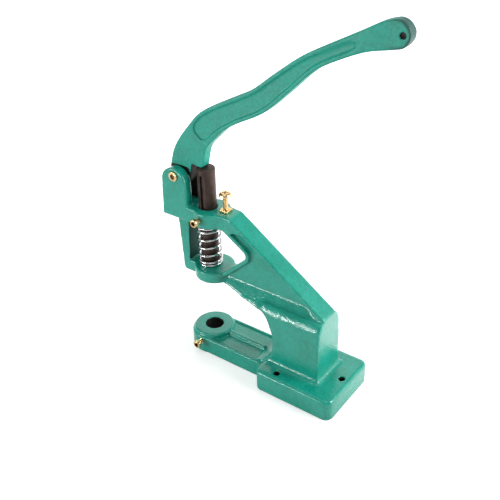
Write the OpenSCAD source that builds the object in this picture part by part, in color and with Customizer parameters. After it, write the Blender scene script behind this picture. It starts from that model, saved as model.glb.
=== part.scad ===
// Hand lever eyelet machine: a cast frame, a hand lever and a spring-returned ram.
// Millimetres. The origin is on the press axis, level with the top of the die boss.
// +Z is up, +X runs from the press axis back to the column, Y runs across.

/* [Base plate] */
// Distance from the press axis to the front of the plate
plate_front = 62; // [50:0.5:90]
// Length of the plate, front to back
plate_l = 68.5; // [60:1:90]
// Width of the plate
plate_w = 60; // [46:1:90]
// Thickness of the plate and of the arm, from the boss top down
plate_t = 18.5; // [14:0.5:26]
// Corner radius of the plate in plan
plate_corner_r = 6; // [3:0.5:12]
// Rounding of the plate's upper edges
plate_edge_r = 3; // [1:0.5:5]
// Diameter of the three bolt holes
bolt_hole_d = 5; // [3:0.1:7]
// Front pair of bolt holes, in from the plate's sides
bolt_side_inset = 7; // [6:0.25:12]
// Front pair, back from the plate's front edge
bolt_pair_inset = 17; // [10:0.5:30]
// Rear hole, forward from the plate's back edge
rear_bolt_inset = 7; // [5:0.5:12]

/* [Arm and die boss] */
// Diameter of the die bore
die_bore_d = 15; // [8:0.5:20]
// Inset of the raised die boss from the arm's rounded end
boss_inset = 1.7; // [0.5:0.1:3]
// Rounding of the boss's upper edge
boss_edge_r = 1.2; // [0.4:0.1:2]
// Diameter of the rounded end of the arm
arm_end_d = 37; // [34:0.2:40]
// Inset of the arm's sides from its rounded end
arm_inset = 0.8; // [0:0.1:3]
// Height of the boss above the arm's rim
boss_h = 3.4; // [1:0.2:6]
// Width of the rim round the arm's pockets
rim_w = 2.4; // [1.5:0.1:5]
// Width of the rib between the pockets
rib_w = 4; // [2:0.5:8]
// Drop of the rib below the boss top
rib_drop = 1; // [0.5:0.1:3]
// Depth of the pockets below the rim
pocket_depth = 1.2; // [0.8:0.1:6]
// Length of the pockets, from the press axis back
pocket_reach = 53; // [44:1:55]
// Fillet where the arm's sides meet the plate
arm_fillet_r = 6; // [2:0.5:9]

/* [Column and throat] */
// Distance from the press axis to the front of the column
throat_depth = 69.5; // [66:0.5:80]
// Distance from the press axis to the back of the column
column_back = 111; // [98:0.5:118]
// Width of the column
column_w = 31; // [26:0.5:40]
// Height at which the throat's ceiling would meet the front of the column
throat_h = 40.4; // [38:0.1:46]
// Where that ceiling leaves the lower collar, back from the press axis
ceiling_start = 18.3; // [16:0.1:24]
// Radius of the throat's upper bend
throat_r = 26; // [14:0.5:28]
// Radius of the throat's lower bend
throat_foot_r = 20; // [14:0.5:21]
// Fillet round the foot of the column
foot_fillet_r = 4.5; // [1:0.5:5]
// Height at which the shoulder meets the web
shoulder_top = 58.4; // [55:0.2:60]
// Height at which the shoulder's slope would meet the column's side
shoulder_low = 41.4; // [36:0.2:46]
// Rounding from the shoulder into the column's side
shoulder_r = 16; // [4:0.5:18]
// Hollow where the shoulder meets the web
shoulder_crease_r = 1.5; // [0.5:0.1:3]

/* [Upper arm] */
// Thickness of the web
web_t = 9; // [6:0.5:12]
// Width of the flange along the sloping top
flange_w = 16.8; // [14:0.2:22]
// Thickness of that flange
flange_t = 4.1; // [2.5:0.1:6]
// Where the flat top of the head turns into the slope
slope_start = 26; // [22:0.5:34]
// Height of the slope's lower end, at the back of the column
slope_end_h = 54.4; // [48:0.2:60]
// Rounding between the head's top and the slope
slope_start_r = 9; // [5:1:30]
// Rounding of the slope's lower end
slope_end_r = 3; // [1:0.5:6]
// Point of the window, back from the press axis
window_tip_x = 43; // [36:0.5:48]
// Height of the window's point
window_tip_h = 85; // [80:0.5:90]
// Upper side of the window, where it leaves the head
window_top_x = 18.3; // [14:0.1:22]
// Lower side of the window, where it leaves the lower collar
window_low_x = 17.6; // [14:0.1:20]
// Rounding of the window's point
window_r = 4.5; // [2:0.5:8]
// Width of the raised rim beside the window
window_rim = 3.3; // [2:0.1:5]
// Width of that rim across the frame
window_rim_w = 16; // [13:0.5:22]

/* [Head and collars] */
// Height of the head's underside above the boss
head_low = 101; // [96:0.5:106]
// Thickness of the head
head_t = 12; // [9:0.5:16]
// Thickness of each ear
ear_t = 7.6; // [5:0.1:12]
// Length of the ears, front to back
ear_l = 23.6; // [21:0.2:30]
// Distance from the press axis forward to the pivot
pivot_reach = 22.3; // [20:0.1:26]
// Height of the pivot above the head's top
pivot_rise = 23.7; // [20:0.1:28]
// Drop from the pivot to the centre of the ears' round tops
ear_top_drop = 5.5; // [0:0.5:8]
// Offset of the ears' centre forward from the pivot
ear_shift = 0.8; // [0:0.1:1.5]
// Forward lean of the ears' front face at the head's underside
ear_lean = 1.3; // [0:0.1:3]
// Diameter of the upper collar
upper_collar_d = 29; // [26:0.5:34]
// Diameter of the lower collar
lower_collar_d = 32.4; // [26:0.2:36]
// Offset of both collars back from the press axis
collar_offset = 4; // [0:0.5:6]
// Height of the lower collar's top above the boss
lower_collar_top = 61.6; // [58:0.2:66]
// Thickness of the lower collar
lower_collar_t = 9.1; // [7:0.1:12]
// Drop of the strut's foot below the lower collar
strut_drop = 0.8; // [0:0.1:2]
// Width of the front strut across the frame
strut_w = 16; // [10:0.5:20]
// Forward face of the strut at the head, from the press axis
strut_top_front = 24.6; // [20:0.1:28]
// Forward face of the strut at its foot, from the press axis
strut_foot_front = 21.7; // [18:0.5:26]
// Thickness of the strut at the head
strut_top_t = 10.9; // [6:0.5:11]
// Thickness of the strut at its foot
strut_foot_t = 6.6; // [4:0.1:9]

/* [Lever] */
// Thickness of the lever
lever_t = 8; // [5:0.5:12]
// Distance from the pivot back to the middle of the palm
lever_reach = 169.6; // [150:0.5:200]
// Height of the middle of the palm above the pivot
lever_rise = 131.5; // [120:0.5:150]
// Widest part of the lever's blade
lever_w = 21.2; // [18:0.5:24]
// Diameter of the hub
hub_d = 19.8; // [16:0.2:22]
// Diameter of the round palm end
palm_d = 17.2; // [14:0.2:24]
// Diameter of the hanging hole
hang_hole_d = 4; // [3:0.1:6]
// Hanging hole, back from the middle of the palm
hang_hole_shift = 4; // [0:0.5:5]
// Depth of the channel sunk in each face
channel_depth = 1.2; // [0.5:0.1:2]
// Lip left on both sides of the channel
channel_lip = 2.8; // [1.5:0.1:4]
// Radius of the toe that presses the ram
toe_r = 3; // [2:0.1:4]
// Distance from the pivot back to the middle of that radius
toe_reach = 20; // [18:0.1:22]
// Height of the middle of that radius above the pivot
toe_rise = 12.35; // [11:0.05:14]
// Distance from the pivot back to the root of the toe
toe_root = 12; // [11:0.1:14]
// Height of that root above the pivot
toe_root_rise = 10.7; // [10:0.1:12]
// Distance from the pivot back to the bend above the toe
toe_bend_reach = 26.5; // [25:0.1:28]
// Height of that bend above the pivot
toe_bend_rise = 27; // [24:0.5:30]
// Rounding of that bend
toe_bend_r = 20; // [5:1:24]

/* [Ram and spring] */
// Diameter of the ram
ram_d = 14; // [10:0.2:18]
// Reach of the ram below the lower collar
ram_proud = 2; // [0.5:0.5:5]
// Chamfer of the ram's upper rim
ram_chamfer = 1; // [0.5:0.1:2]
// Width of the ram's keyway
keyway_w = 4.2; // [3:0.1:5]
// Depth of the ram's keyway
keyway_depth = 1.6; // [1:0.1:2]
// Length of the keyway above the head's underside
keyway_l = 40; // [30:0.5:42]
// Diameter of the threaded hole for the upper die
die_thread_d = 6; // [4:0.1:8]
// Depth of that hole
die_thread_depth = 20; // [10:0.5:30]
// Diameter of the spring wire
wire_d = 1.8; // [1.2:0.1:2.4]
// Outside diameter of the spring
spring_d = 19.4; // [17:0.1:20]
// Open turns of the spring
open_turns = 4; // [3:0.25:5]
// Closed turns at each end
closed_turns = 1.25; // [1:0.25:1.5]
// Pitch of the closed turns
closed_pitch = 2.7; // [2.4:0.1:3]
// Thickness of the ring in the ram's groove
ring_t = 1.2; // [0.8:0.1:2]
// Outside diameter of that ring
ring_d = 18.4; // [16:0.2:19]
// Depth of the groove that holds the ring
ring_groove = 0.7; // [0.4:0.1:1]
// Thickness of the washer on the spring
washer_t = 1.2; // [0.8:0.1:2]
// Outside diameter of that washer
washer_d = 19; // [17:0.2:20]

/* [Pivot bolt] */
// Diameter of the pivot bolt
pivot_d = 6; // [4:0.5:8]
// Diameter of its head
pivot_head_d = 7.8; // [7:0.1:12]
// Thickness of its head
pivot_head_t = 1.2; // [1:0.1:4]
// Hexagon socket across flats
pivot_socket_af = 4; // [2.5:0.5:5]
// Nut across flats
pivot_nut_af = 10; // [8:0.5:13]
// Thickness of the nut
pivot_nut_t = 5; // [3:0.5:7]
// Washer diameter
pivot_washer_d = 12; // [10:0.5:14]
// Washer thickness
pivot_washer_t = 1.2; // [0.8:0.1:2]
// Bolt end past the nut
pivot_end = 1.5; // [0.5:0.5:3]

/* [Small screws] */
// Diameter of the stop screw, key screw and clamp screw
screw_d = 4; // [3:0.1:5]
// Distance from the press axis back to the stop screw
stop_x = 17.4; // [16:0.1:20]
// Height of the stop screw's head above the head casting
stop_rise = 13.8; // [8:0.1:16]
// Diameter of the stop screw's head
stop_head_d = 9.4; // [7:0.1:10]
// Thickness of the stop screw's head
stop_head_t = 2.6; // [2:0.1:4]
// Length of the stop screw's shank
stop_screw_l = 24; // [20:0.5:30]
// Square lock nut across flats
lock_nut_af = 7.3; // [6:0.1:8]
// Thickness of the lock nut
lock_nut_t = 2.4; // [2:0.1:4]
// Turn of the lock nut about its screw
lock_nut_turn = 0; // [-45:1:45]
// Diameter of a socket screw's head
cap_head_d = 6.4; // [6:0.1:8]
// Length of a socket screw's head
cap_head_l = 3; // [2:0.1:4]
// Hexagon socket across flats
cap_socket_af = 3; // [2:0.1:4]
// Key screw above the head's underside
key_rise = 5.6; // [4:0.1:8]
// Key screw and keyway, back from the press axis
key_x = 1.2; // [-2:0.1:2]
// Distance from the press axis out to the key screw's head
key_reach = 20.2; // [18:0.1:24]
// Clamp screw below the boss top
clamp_drop = 7.5; // [6:0.1:12]
// Clamp screw's length outside the arm
clamp_proud = 6.7; // [5:0.1:12]

/* [Fits] */
// Radial clearance of a running or threaded fit
run_fit = 0.05; // [0.02:0.01:0.08]
// Gap between the lever and each ear
cheek_gap = 0.5; // [0.15:0.05:0.5]
// Gap between faces that meet but aren't fixed to each other
seat_gap = 0.05; // [0.02:0.01:0.1]
// Gap left for a piece that moves beside another
move_gap = 0.3; // [0.2:0.05:0.5]

/* [Hidden] */

// Overrun of every cut past the face that it starts from
over = 1;
round_fn = 96;
small_fn = 48;
arc_steps = 10;

enamel = [0.20, 0.60, 0.52];
dark_steel = [0.24, 0.20, 0.19];
bright_steel = [0.85, 0.86, 0.87];
yellow_zinc = [0.86, 0.70, 0.42];

plate_back = plate_front + plate_l;
rim_top = -boss_h;
head_top = head_low + head_t;
pivot_h = head_top + pivot_rise;
arm_w = arm_end_d - 2 * arm_inset;
boss_d = arm_end_d - 2 * boss_inset;
bolt_pair_gap = plate_w - 2 * bolt_side_inset;
ear_gap = lever_t + 2 * cheek_gap;
head_w = ear_gap + 2 * ear_t;
head_front = -(pivot_reach + ear_shift + ear_l / 2);
ear_top_r = ear_l / 2;
ear_top_h = pivot_h - ear_top_drop;
lower_collar_low = lower_collar_top - lower_collar_t;
// Middle of the throat's lower bend, which starts on the arm at the end of the pockets
throat_foot_x = throat_depth - throat_foot_r;
throat_foot_angle = acos((pocket_reach - throat_foot_x) / throat_foot_r);
throat_foot_h = rim_top + throat_foot_r * sin(throat_foot_angle);
ram_bore_r = ram_d / 2 + run_fit;
screw_hole_r = screw_d / 2 + run_fit;
pivot_hole_r = pivot_d / 2 + run_fit;

ram_low = lower_collar_low - ram_proud;
ram_top = pivot_h + toe_rise - toe_r - seat_gap;
key_h = head_low + key_rise;
ring_top = head_low - seat_gap;
ring_low = ring_top - ring_t;
washer_low = ring_low - seat_gap - washer_t;
spring_low = lower_collar_top + seat_gap;
spring_top = washer_low - seat_gap;

coil_r = (spring_d - wire_d) / 2;
coil_rise = spring_top - spring_low - wire_d;
open_pitch = (coil_rise - 2 * closed_turns * closed_pitch) / open_turns;
turns = open_turns + 2 * closed_turns;
rings_per_turn = 12;
coil_start_angle = -106;

// Plan outlines and side outlines

function unit(v) = v / norm(v);
function turn_left(v) = [-v[1], v[0]];
function angle_of(v) = atan2(v[1], v[0]);
function on_circle(centre, r, a) = centre + r * [cos(a), sin(a)];
function arc(centre, r, from, to, steps = arc_steps) =
    [for (i = [0:steps]) on_circle(centre, r, from + (to - from) * i / steps)];

// The corner at p between a and b, rounded with radius r, as points
function corner(a, p, b, r, steps = arc_steps) =
    let(u = unit(a - p), v = unit(b - p))
    let(half = acos(u * v) / 2)
    let(centre = p + unit(u + v) * r / sin(half))
    let(start = angle_of(p + u * r / tan(half) - centre))
    let(side = sign(u[0] * v[1] - u[1] * v[0]))
    arc(centre, r, start, start - side * (180 - 2 * half), steps);

// A closed outline of points [x, y, r], each corner with its own radius, 0 for a sharp one
function rounded(p) =
    let(n = len(p))
    [for (i = [0:n - 1])
        let(a = p[(i + n - 1) % n], b = p[i], c = p[(i + 1) % n])
        each b[2] > 0
            ? corner([a[0], a[1]], [b[0], b[1]], [c[0], c[1]], b[2])
            : [[b[0], b[1]]]];

// The corner of a line of width t laid outside the corner at p between a and b
function outside_corner(a, p, b, t) =
    let(u = unit(a - p), v = unit(b - p))
    p - unit(u + v) * t / sin(acos(u * v) / 2);

// Extrudes a side outline, drawn in X and Z, across the frame
module across(width) {
    translate([0, width / 2, 0])
        rotate([90, 0, 0])
            linear_extrude(width) children();
}

// Extrudes an end outline, drawn in Y and Z, along X
module along(from, to) {
    translate([from, 0, 0])
        rotate([90, 0, 90])
            linear_extrude(to - from) children();
}

// A round bar or hole along Y
module bar_y(r, from, to, fn = small_fn) {
    translate([0, to, 0])
        rotate([90, 0, 0])
            cylinder(r = r, h = to - from, $fn = fn);
}

// Base plate

module plate_corner() {
    rotate_extrude($fn = 32)
        polygon(concat(
            [[0, 0], [plate_corner_r, 0]],
            arc([plate_corner_r - plate_edge_r, plate_t - plate_edge_r], plate_edge_r, 0, 90, 5),
            [[0, plate_t]]
        ));
}

module base_plate() {
    inset_x = plate_l / 2 - plate_corner_r;
    inset_y = plate_w / 2 - plate_corner_r;
    translate([plate_front + plate_l / 2, 0, -plate_t])
        hull()
            for (sx = [-1, 1], sy = [-1, 1])
                translate([sx * inset_x, sy * inset_y, 0]) plate_corner();
}

module bolt_holes() {
    places = [
        [plate_front + bolt_pair_inset, bolt_pair_gap / 2],
        [plate_front + bolt_pair_inset, -bolt_pair_gap / 2],
        [plate_back - rear_bolt_inset, 0]
    ];
    for (p = places)
        translate([p[0], p[1], -plate_t - over])
            cylinder(d = bolt_hole_d, h = plate_t + 2 * over, $fn = small_fn);
}

// Arm with the die boss

module arm_plan() {
    circle(d = arm_end_d, $fn = round_fn);
    translate([0, -arm_w / 2]) square([plate_front + arm_fillet_r, arm_w]);
    for (s = [-1, 1])
        difference() {
            translate([plate_front - arm_fillet_r, s > 0 ? 0 : -arm_w / 2 - arm_fillet_r])
                square([2 * arm_fillet_r, arm_w / 2 + arm_fillet_r]);
            translate([plate_front - arm_fillet_r, s * (arm_w / 2 + arm_fillet_r)])
                circle(r = arm_fillet_r, $fn = small_fn);
        }
}

module pocket_plan() {
    difference() {
        for (s = [0, 1])
            mirror([0, s])
                translate([0, rib_w / 2])
                    square([pocket_reach, (arm_w - rib_w) / 2 - rim_w]);
        circle(d = boss_d, $fn = round_fn);
    }
}

module arm() {
    difference() {
        translate([0, 0, -plate_t]) linear_extrude(plate_t - boss_h) arm_plan();
        translate([0, 0, rim_top - pocket_depth]) linear_extrude(pocket_depth + over) pocket_plan();
    }
    translate([0, 0, -plate_t])
        rotate_extrude($fn = round_fn)
            polygon(concat(
                [[0, 0], [boss_d / 2, 0]],
                arc([boss_d / 2 - boss_edge_r, plate_t - boss_edge_r], boss_edge_r, 0, 90, 4),
                [[0, plate_t]]
            ));
    translate([0, -rib_w / 2, -plate_t]) cube([pocket_reach, rib_w, plate_t - rib_drop]);
}

// Column, web and flange

function throat_edge() =
    concat(
        [[pocket_reach, -plate_t]],
        arc([throat_foot_x, throat_foot_h], throat_foot_r, -throat_foot_angle, 0),
        corner([throat_depth, throat_foot_h], [throat_depth, throat_h], [ceiling_start, lower_collar_low],
            throat_r, 2 * arc_steps),
        [[ceiling_start, lower_collar_low], [collar_offset, lower_collar_low]]
    );

function slope_point(x) =
    [x, head_top + (slope_end_h - head_top) * (x - slope_start) / (column_back - slope_start)];

module side_outline() {
    top = rounded([
        [collar_offset, head_top, 0],
        [slope_start, head_top, slope_start_r],
        [column_back, slope_end_h, slope_end_r],
        [column_back, -plate_t, 0],
        [pocket_reach, -plate_t, 0]
    ]);
    polygon(concat(top, throat_edge()));
}

// The column's end outline: a foot, straight sides and an ogee shoulder up to the web
module column_end_outline() {
    half = column_w / 2;
    web = web_t / 2;
    right = [
        [half, -plate_t, 0],
        [half, shoulder_low, shoulder_r],
        [web, shoulder_top, shoulder_crease_r],
        [web, shoulder_top + plate_t, 0]
    ];
    left = [for (i = [len(right) - 1:-1:0]) [-right[i][0], right[i][1], right[i][2]]];
    polygon(rounded(concat(right, left)));
}

module column() {
    difference() {
        intersection() {
            across(column_w + over) side_outline();
            along(collar_offset - over, column_back + over) column_end_outline();
        }
        across(column_w + 2 * over) window_outline();
    }
}

// Fillet where the column stands on the plate
module foot_fillet() {
    r = foot_fillet_r;
    front = throat_foot_x + sqrt(pow(throat_foot_r, 2) - pow(throat_foot_h - r, 2));
    side = rounded([
        [front, -r, 0], [front, r, 0], [column_back, r, 0],
        [column_back, 0, r], [column_back + 2 * r, 0, 0], [column_back + 2 * r, -r, 0]
    ]);
    half = column_w / 2;
    end_right = [[half + 2 * r, -r, 0], [half + 2 * r, 0, 0], [half, 0, r], [half, r, 0]];
    end_left = [for (i = [len(end_right) - 1:-1:0]) [-end_right[i][0], end_right[i][1], end_right[i][2]]];
    intersection() {
        across(column_w + 5 * r) polygon(side);
        along(front, column_back + 3 * r) polygon(rounded(concat(end_right, end_left)));
    }
}

module flange() {
    near = slope_point(0);
    far = slope_point(column_back + flange_t);
    up = unit(turn_left(far - near));
    intersection() {
        across(flange_w) side_outline();
        across(flange_w + over)
            polygon([near - flange_t * up, far - flange_t * up, far + head_t * up, near + head_t * up]);
    }
}

// The three points of the window beside the spring
window_high = [window_top_x, head_low];
window_tip = [window_tip_x, window_tip_h];
window_low = [window_low_x, lower_collar_top];

module window_outline() {
    polygon(concat(
        [[-strut_top_front, lower_collar_top], window_low],
        corner(window_low, window_tip, window_high, window_r),
        [window_high, [-strut_top_front, head_low]]
    ));
}

module window_rim_bar() {
    tip = outside_corner(window_low, window_tip, window_high, window_rim);
    up = unit(window_high - window_tip);
    down = unit(window_low - window_tip);
    high = window_high + head_t / 2 * up;
    low = window_low + lower_collar_t / 2 * down;
    across(window_rim_w)
        difference() {
            polygon(concat(
                [low, low + (tip - window_tip - (tip - window_tip) * down * down)],
                corner(window_low + tip - window_tip, tip, window_high + tip - window_tip, window_r + window_rim),
                [high + (tip - window_tip - (tip - window_tip) * up * up), high]
            ));
            window_outline();
        }
}

module web() {
    difference() {
        across(web_t) side_outline();
        across(web_t + over) window_outline();
    }
}

// Head, ears, collars and strut

collar_fillet_angle = 40;

module head_plan() {
    translate([head_front + ear_l / 2, -head_w / 2])
        square([collar_offset - head_front - ear_l / 2, head_w]);
    translate([collar_offset, 0]) circle(d = upper_collar_d, $fn = round_fn);
    translate([collar_offset, -flange_w / 2]) square([column_back, flange_w]);
    // Small fillets where the collar runs into the flange
    start = on_circle([collar_offset, 0], upper_collar_d / 2, collar_fillet_angle);
    for (s = [0, 1])
        mirror([0, s])
            polygon([[start[0], 0], start, [slope_start - web_t / 2, flange_w / 2], [slope_start, 0]]);
}

module head() {
    intersection() {
        translate([0, 0, head_low]) linear_extrude(head_t) head_plan();
        across(upper_collar_d + over)
            union() {
                side_outline();
                translate([head_front, head_low]) square([collar_offset - head_front + over, head_t]);
            }
    }
}

module ears() {
    outline = concat(
        [[head_front - ear_lean, head_low], [head_front + ear_l, head_low]],
        arc([head_front + ear_top_r, ear_top_h], ear_top_r, 0, 180, 3 * arc_steps)
    );
    difference() {
        across(head_w) polygon(outline);
        translate([head_front - ear_lean - over, -ear_gap / 2, head_top])
            cube([ear_l + ear_lean + 2 * over, ear_gap, ear_top_h + ear_top_r - head_top + over]);
    }
}

module collars() {
    translate([collar_offset, 0, lower_collar_low])
        cylinder(d = lower_collar_d, h = lower_collar_t, $fn = round_fn);
}

module strut() {
    foot_r = strut_foot_t / 2;
    across(strut_w)
        polygon(rounded([
            [-strut_top_front, head_low + head_t / 2, 0],
            [-strut_top_front, head_low, 0],
            [-strut_foot_front, lower_collar_low - strut_drop, foot_r],
            [-ram_bore_r - strut_drop, lower_collar_low - strut_drop, strut_drop],
            [-ram_bore_r, lower_collar_low, 0],
            [0, lower_collar_low, 0],
            [0, lower_collar_top, 0],
            [strut_foot_t - strut_foot_front, lower_collar_top, foot_r / 2],
            [strut_top_t - strut_top_front, head_low, 0],
            [strut_top_t - strut_top_front, head_low + head_t / 2, 0]
        ]));
}

module frame_bores() {
    translate([0, 0, -plate_t - over])
        cylinder(d = die_bore_d, h = plate_t + 2 * over, $fn = round_fn);
    translate([0, 0, lower_collar_low - over])
        cylinder(r = ram_bore_r, h = lower_collar_t + 2 * over, $fn = round_fn);
    translate([0, 0, head_low - over])
        cylinder(r = ram_bore_r, h = head_t + 2 * over, $fn = round_fn);
    translate([-pivot_reach, 0, pivot_h]) bar_y(pivot_hole_r, -head_w / 2 - over, head_w / 2 + over);
    translate([stop_x, 0, head_low - over])
        cylinder(r = screw_hole_r, h = head_t + 2 * over, $fn = small_fn);
    translate([key_x, 0, key_h]) bar_y(screw_hole_r, -upper_collar_d / 2 - over, 0);
    translate([0, 0, -clamp_drop]) bar_y(screw_hole_r, -arm_end_d / 2 - over, 0);
}

module frame_casting() {
    color(enamel)
        difference() {
            union() {
                base_plate();
                arm();
                column();
                foot_fillet();
                web();
                flange();
                window_rim_bar();
                head();
                ears();
                collars();
                strut();
            }
            frame_bores();
            bolt_holes();
        }
}

// Hand lever: an S-shaped blade of changing width laid along a smooth curve.
// Shares of the reach, the rise and the widest part, from the pivot to the middle of the palm.
blade_shares = [
    [0, 0, 0.93], [0.018, 0.095, 0.90], [0.052, 0.168, 0.94], [0.107, 0.254, 0.965],
    [0.175, 0.352, 0.93], [0.291, 0.447, 0.83], [0.427, 0.544, 0.81], [0.539, 0.665, 0.73],
    [0.643, 0.779, 0.59], [0.718, 0.841, 0.52], [0.861, 0.934, 0.57], [0.960, 0.985, 0.78]
];
blade = concat(
    [for (s = blade_shares) [s[0] * lever_reach, s[1] * lever_rise, s[2] * lever_w]],
    [[lever_reach, lever_rise, palm_d]]
);
blade_steps = 4;
blade_end = len(blade) - 1;

function station(i) = blade[max(0, min(blade_end, i))];
function smooth(a, b, c, d, t) =
    (2 * b + (c - a) * t + (2 * a - 5 * b + 4 * c - d) * t * t + (3 * b - a - 3 * c + d) * t * t * t) / 2;
function blade_at(t) =
    let(i = min(floor(t), blade_end - 1))
    smooth(station(i - 1), station(i), station(i + 1), station(i + 2), t - i);
function blade_way(t) =
    let(small = 1 / blade_steps / blade_steps)
    let(d = blade_at(min(t + small, blade_end)) - blade_at(max(t - small, 0)))
    unit([d[0], d[1]]);
function blade_edge(t, side, lip = 0) =
    let(p = blade_at(t))
    [p[0], p[1]] + side * (p[2] / 2 - lip) * turn_left(blade_way(t));

// Points of one edge between two stations
function edge_run(from, to, side) =
    let(n = round(abs(to - from) * blade_steps))
    [for (i = [0:n]) blade_edge(from + (to - from) * i / n, side)];

toe_centre = [toe_reach, toe_rise];
palm_centre = [lever_reach, lever_rise];
toe_join = 4.5;
toe_back_angle = -15;
toe_low_angle = -100;

function lever_points() =
    let(palm_angle = angle_of(turn_left(blade_way(blade_end))))
    let(hub_angle = angle_of(turn_left(blade_way(0))))
    let(nose_end = on_circle(toe_centre, toe_r, toe_back_angle))
    let(bend = [toe_bend_reach, toe_bend_rise])
    concat(
        edge_run(0, blade_end - 1 / blade_steps, 1),
        arc(palm_centre, palm_d / 2, palm_angle, palm_angle - 180, 3 * arc_steps),
        edge_run(blade_end - 1 / blade_steps, toe_join, -1),
        corner(blade_edge(toe_join, -1), bend, nose_end, toe_bend_r),
        arc(toe_centre, toe_r, toe_back_angle, toe_low_angle),
        corner(on_circle(toe_centre, toe_r, toe_low_angle), [toe_root, toe_root_rise], [hub_d / 2, 0], toe_r / 2),
        arc([0, 0], hub_d / 2, 0, hub_angle - 360, 3 * arc_steps)
    );

// Channel sunk in each face, with round ends
channel_from = 3.1;
channel_to = 9.9;
channel_round = 0.4;
channel_point = 0.9;

function end_share(t) =
    let(u = max(0, 1 - min(t - channel_from, channel_to - t) / channel_round) * channel_point)
    1 - sqrt(1 - u * u);
function channel_edge(t, side) =
    let(half = blade_at(t)[2] / 2 - channel_lip)
    blade_edge(t, side, channel_lip + half * end_share(t));
function channel_run(from, to, side) =
    let(n = round(abs(to - from) * 2 * blade_steps))
    [for (i = [0:n]) channel_edge(from + (to - from) * i / n, side)];

module lever_channel() {
    for (s = [0, 1])
        mirror([0, s, 0])
            translate([0, lever_t / 2 + over, 0])
                rotate([90, 0, 0])
                    linear_extrude(channel_depth + over)
                        polygon(concat(
                            channel_run(channel_from, channel_to, 1),
                            channel_run(channel_to, channel_from, -1)
                        ));
}

module hand_lever() {
    color(enamel)
        translate([-pivot_reach, 0, pivot_h])
            difference() {
                across(lever_t) polygon(lever_points());
                lever_channel();
                bar_y(pivot_hole_r, -lever_t, lever_t);
                translate([lever_reach + hang_hole_shift, 0, lever_rise])
                    bar_y(hang_hole_d / 2, -lever_t, lever_t);
            }
}

// Ram with its keyway, ring groove and threaded hole

module ram() {
    groove_r = ram_d / 2 - ring_groove;
    color(dark_steel)
        difference() {
            rotate_extrude($fn = round_fn)
                polygon([
                    [0, ram_low], [ram_d / 2, ram_low], [ram_d / 2, ring_low - seat_gap], [groove_r, ring_low - seat_gap],
                    [groove_r, ring_top + seat_gap], [ram_d / 2, ring_top + seat_gap],
                    [ram_d / 2, ram_top - ram_chamfer], [ram_d / 2 - ram_chamfer, ram_top], [0, ram_top]
                ]);
            translate([key_x - keyway_w / 2, -ram_d / 2 - over, head_low + ring_t])
                cube([keyway_w, keyway_depth + over, keyway_l - ring_t]);
            translate([0, 0, ram_low - over])
                cylinder(d = die_thread_d, h = die_thread_depth + over, $fn = small_fn);
        }
}

// Return spring: one round wire, closed at both ends

function coil_height(t) =
    t < closed_turns
        ? t * closed_pitch
        : t < closed_turns + open_turns
            ? closed_turns * closed_pitch + (t - closed_turns) * open_pitch
            : coil_rise - (turns - t) * closed_pitch;
function coil_point(t) =
    let(a = coil_start_angle + t * 360)
    [coil_r * cos(a), coil_r * sin(a), spring_low + wire_d / 2 + coil_height(t)];

coil_rings = round(turns * rings_per_turn);
coil_path = [for (i = [0:coil_rings]) coil_point(turns * i / coil_rings)];
wire_sides = 6;

function ring_points(i) =
    let(t = turns * i / coil_rings, a = coil_start_angle + t * 360)
    let(out = [cos(a), sin(a), 0])
    [for (k = [0:wire_sides - 1])
        coil_path[i] + wire_d / 2 * (out * cos(k * 360 / wire_sides) + [0, 0, sin(k * 360 / wire_sides)])];

function tube_faces(rings, sides) =
    concat(
        [for (i = [0:rings - 1], k = [0:sides - 1], h = [0, 1])
            let(a = i * sides + k, b = i * sides + (k + 1) % sides)
            h == 0 ? [a, a + sides, b] : [b, a + sides, b + sides]],
        [for (k = [1:sides - 2]) [0, k, k + 1]],
        [for (k = [1:sides - 2]) [rings * sides, rings * sides + k + 1, rings * sides + k]]
    );

module return_spring() {
    color(bright_steel)
        polyhedron(
            points = [for (i = [0:coil_rings]) each ring_points(i)],
            faces = tube_faces(coil_rings, wire_sides)
        );
}

// Least gap between points of the wire that lie more than half a turn apart
coil_gap = min([
    for (i = [0:coil_rings - rings_per_turn / 2], j = [i + rings_per_turn / 2:coil_rings])
        norm(coil_path[i] - coil_path[j])
]) - wire_d;
echo("least gap of the spring to itself", coil_gap);

module spring_washer() {
    color(bright_steel)
        translate([0, 0, washer_low])
            difference() {
                cylinder(d = washer_d, h = washer_t, $fn = round_fn);
                translate([0, 0, -over]) cylinder(r = ram_bore_r, h = washer_t + 2 * over, $fn = round_fn);
            }
}

module retaining_ring() {
    inner_r = ram_d / 2 - ring_groove + seat_gap;
    color(bright_steel)
        translate([0, 0, ring_low])
            difference() {
                cylinder(d = ring_d, h = ring_t, $fn = round_fn);
                translate([0, 0, -over]) cylinder(r = inner_r, h = ring_t + 2 * over, $fn = round_fn);
                translate([0, -ring_t, -over]) cube([ring_d, 2 * ring_t, ring_t + 2 * over]);
            }
}

// Pivot bolt through both ears and the lever

module pivot_bolt() {
    head_face = -head_w / 2 - seat_gap;
    end = head_w / 2 + pivot_washer_t + pivot_nut_t + 2 * seat_gap + pivot_end;
    color(yellow_zinc)
        translate([-pivot_reach, 0, pivot_h])
            difference() {
                union() {
                    bar_y(pivot_d / 2, head_face, end);
                    bar_y(pivot_head_d / 2, head_face - pivot_head_t, head_face);
                }
                bar_y(pivot_socket_af / 2 / cos(30), head_face - pivot_head_t - over,
                    head_face - pivot_head_t / 4, fn = 6);
            }
}

module pivot_washer() {
    from = head_w / 2 + seat_gap;
    color(yellow_zinc)
        translate([-pivot_reach, 0, pivot_h])
            difference() {
                bar_y(pivot_washer_d / 2, from, from + pivot_washer_t);
                bar_y(pivot_hole_r, from - over, from + pivot_washer_t + over);
            }
}

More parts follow.
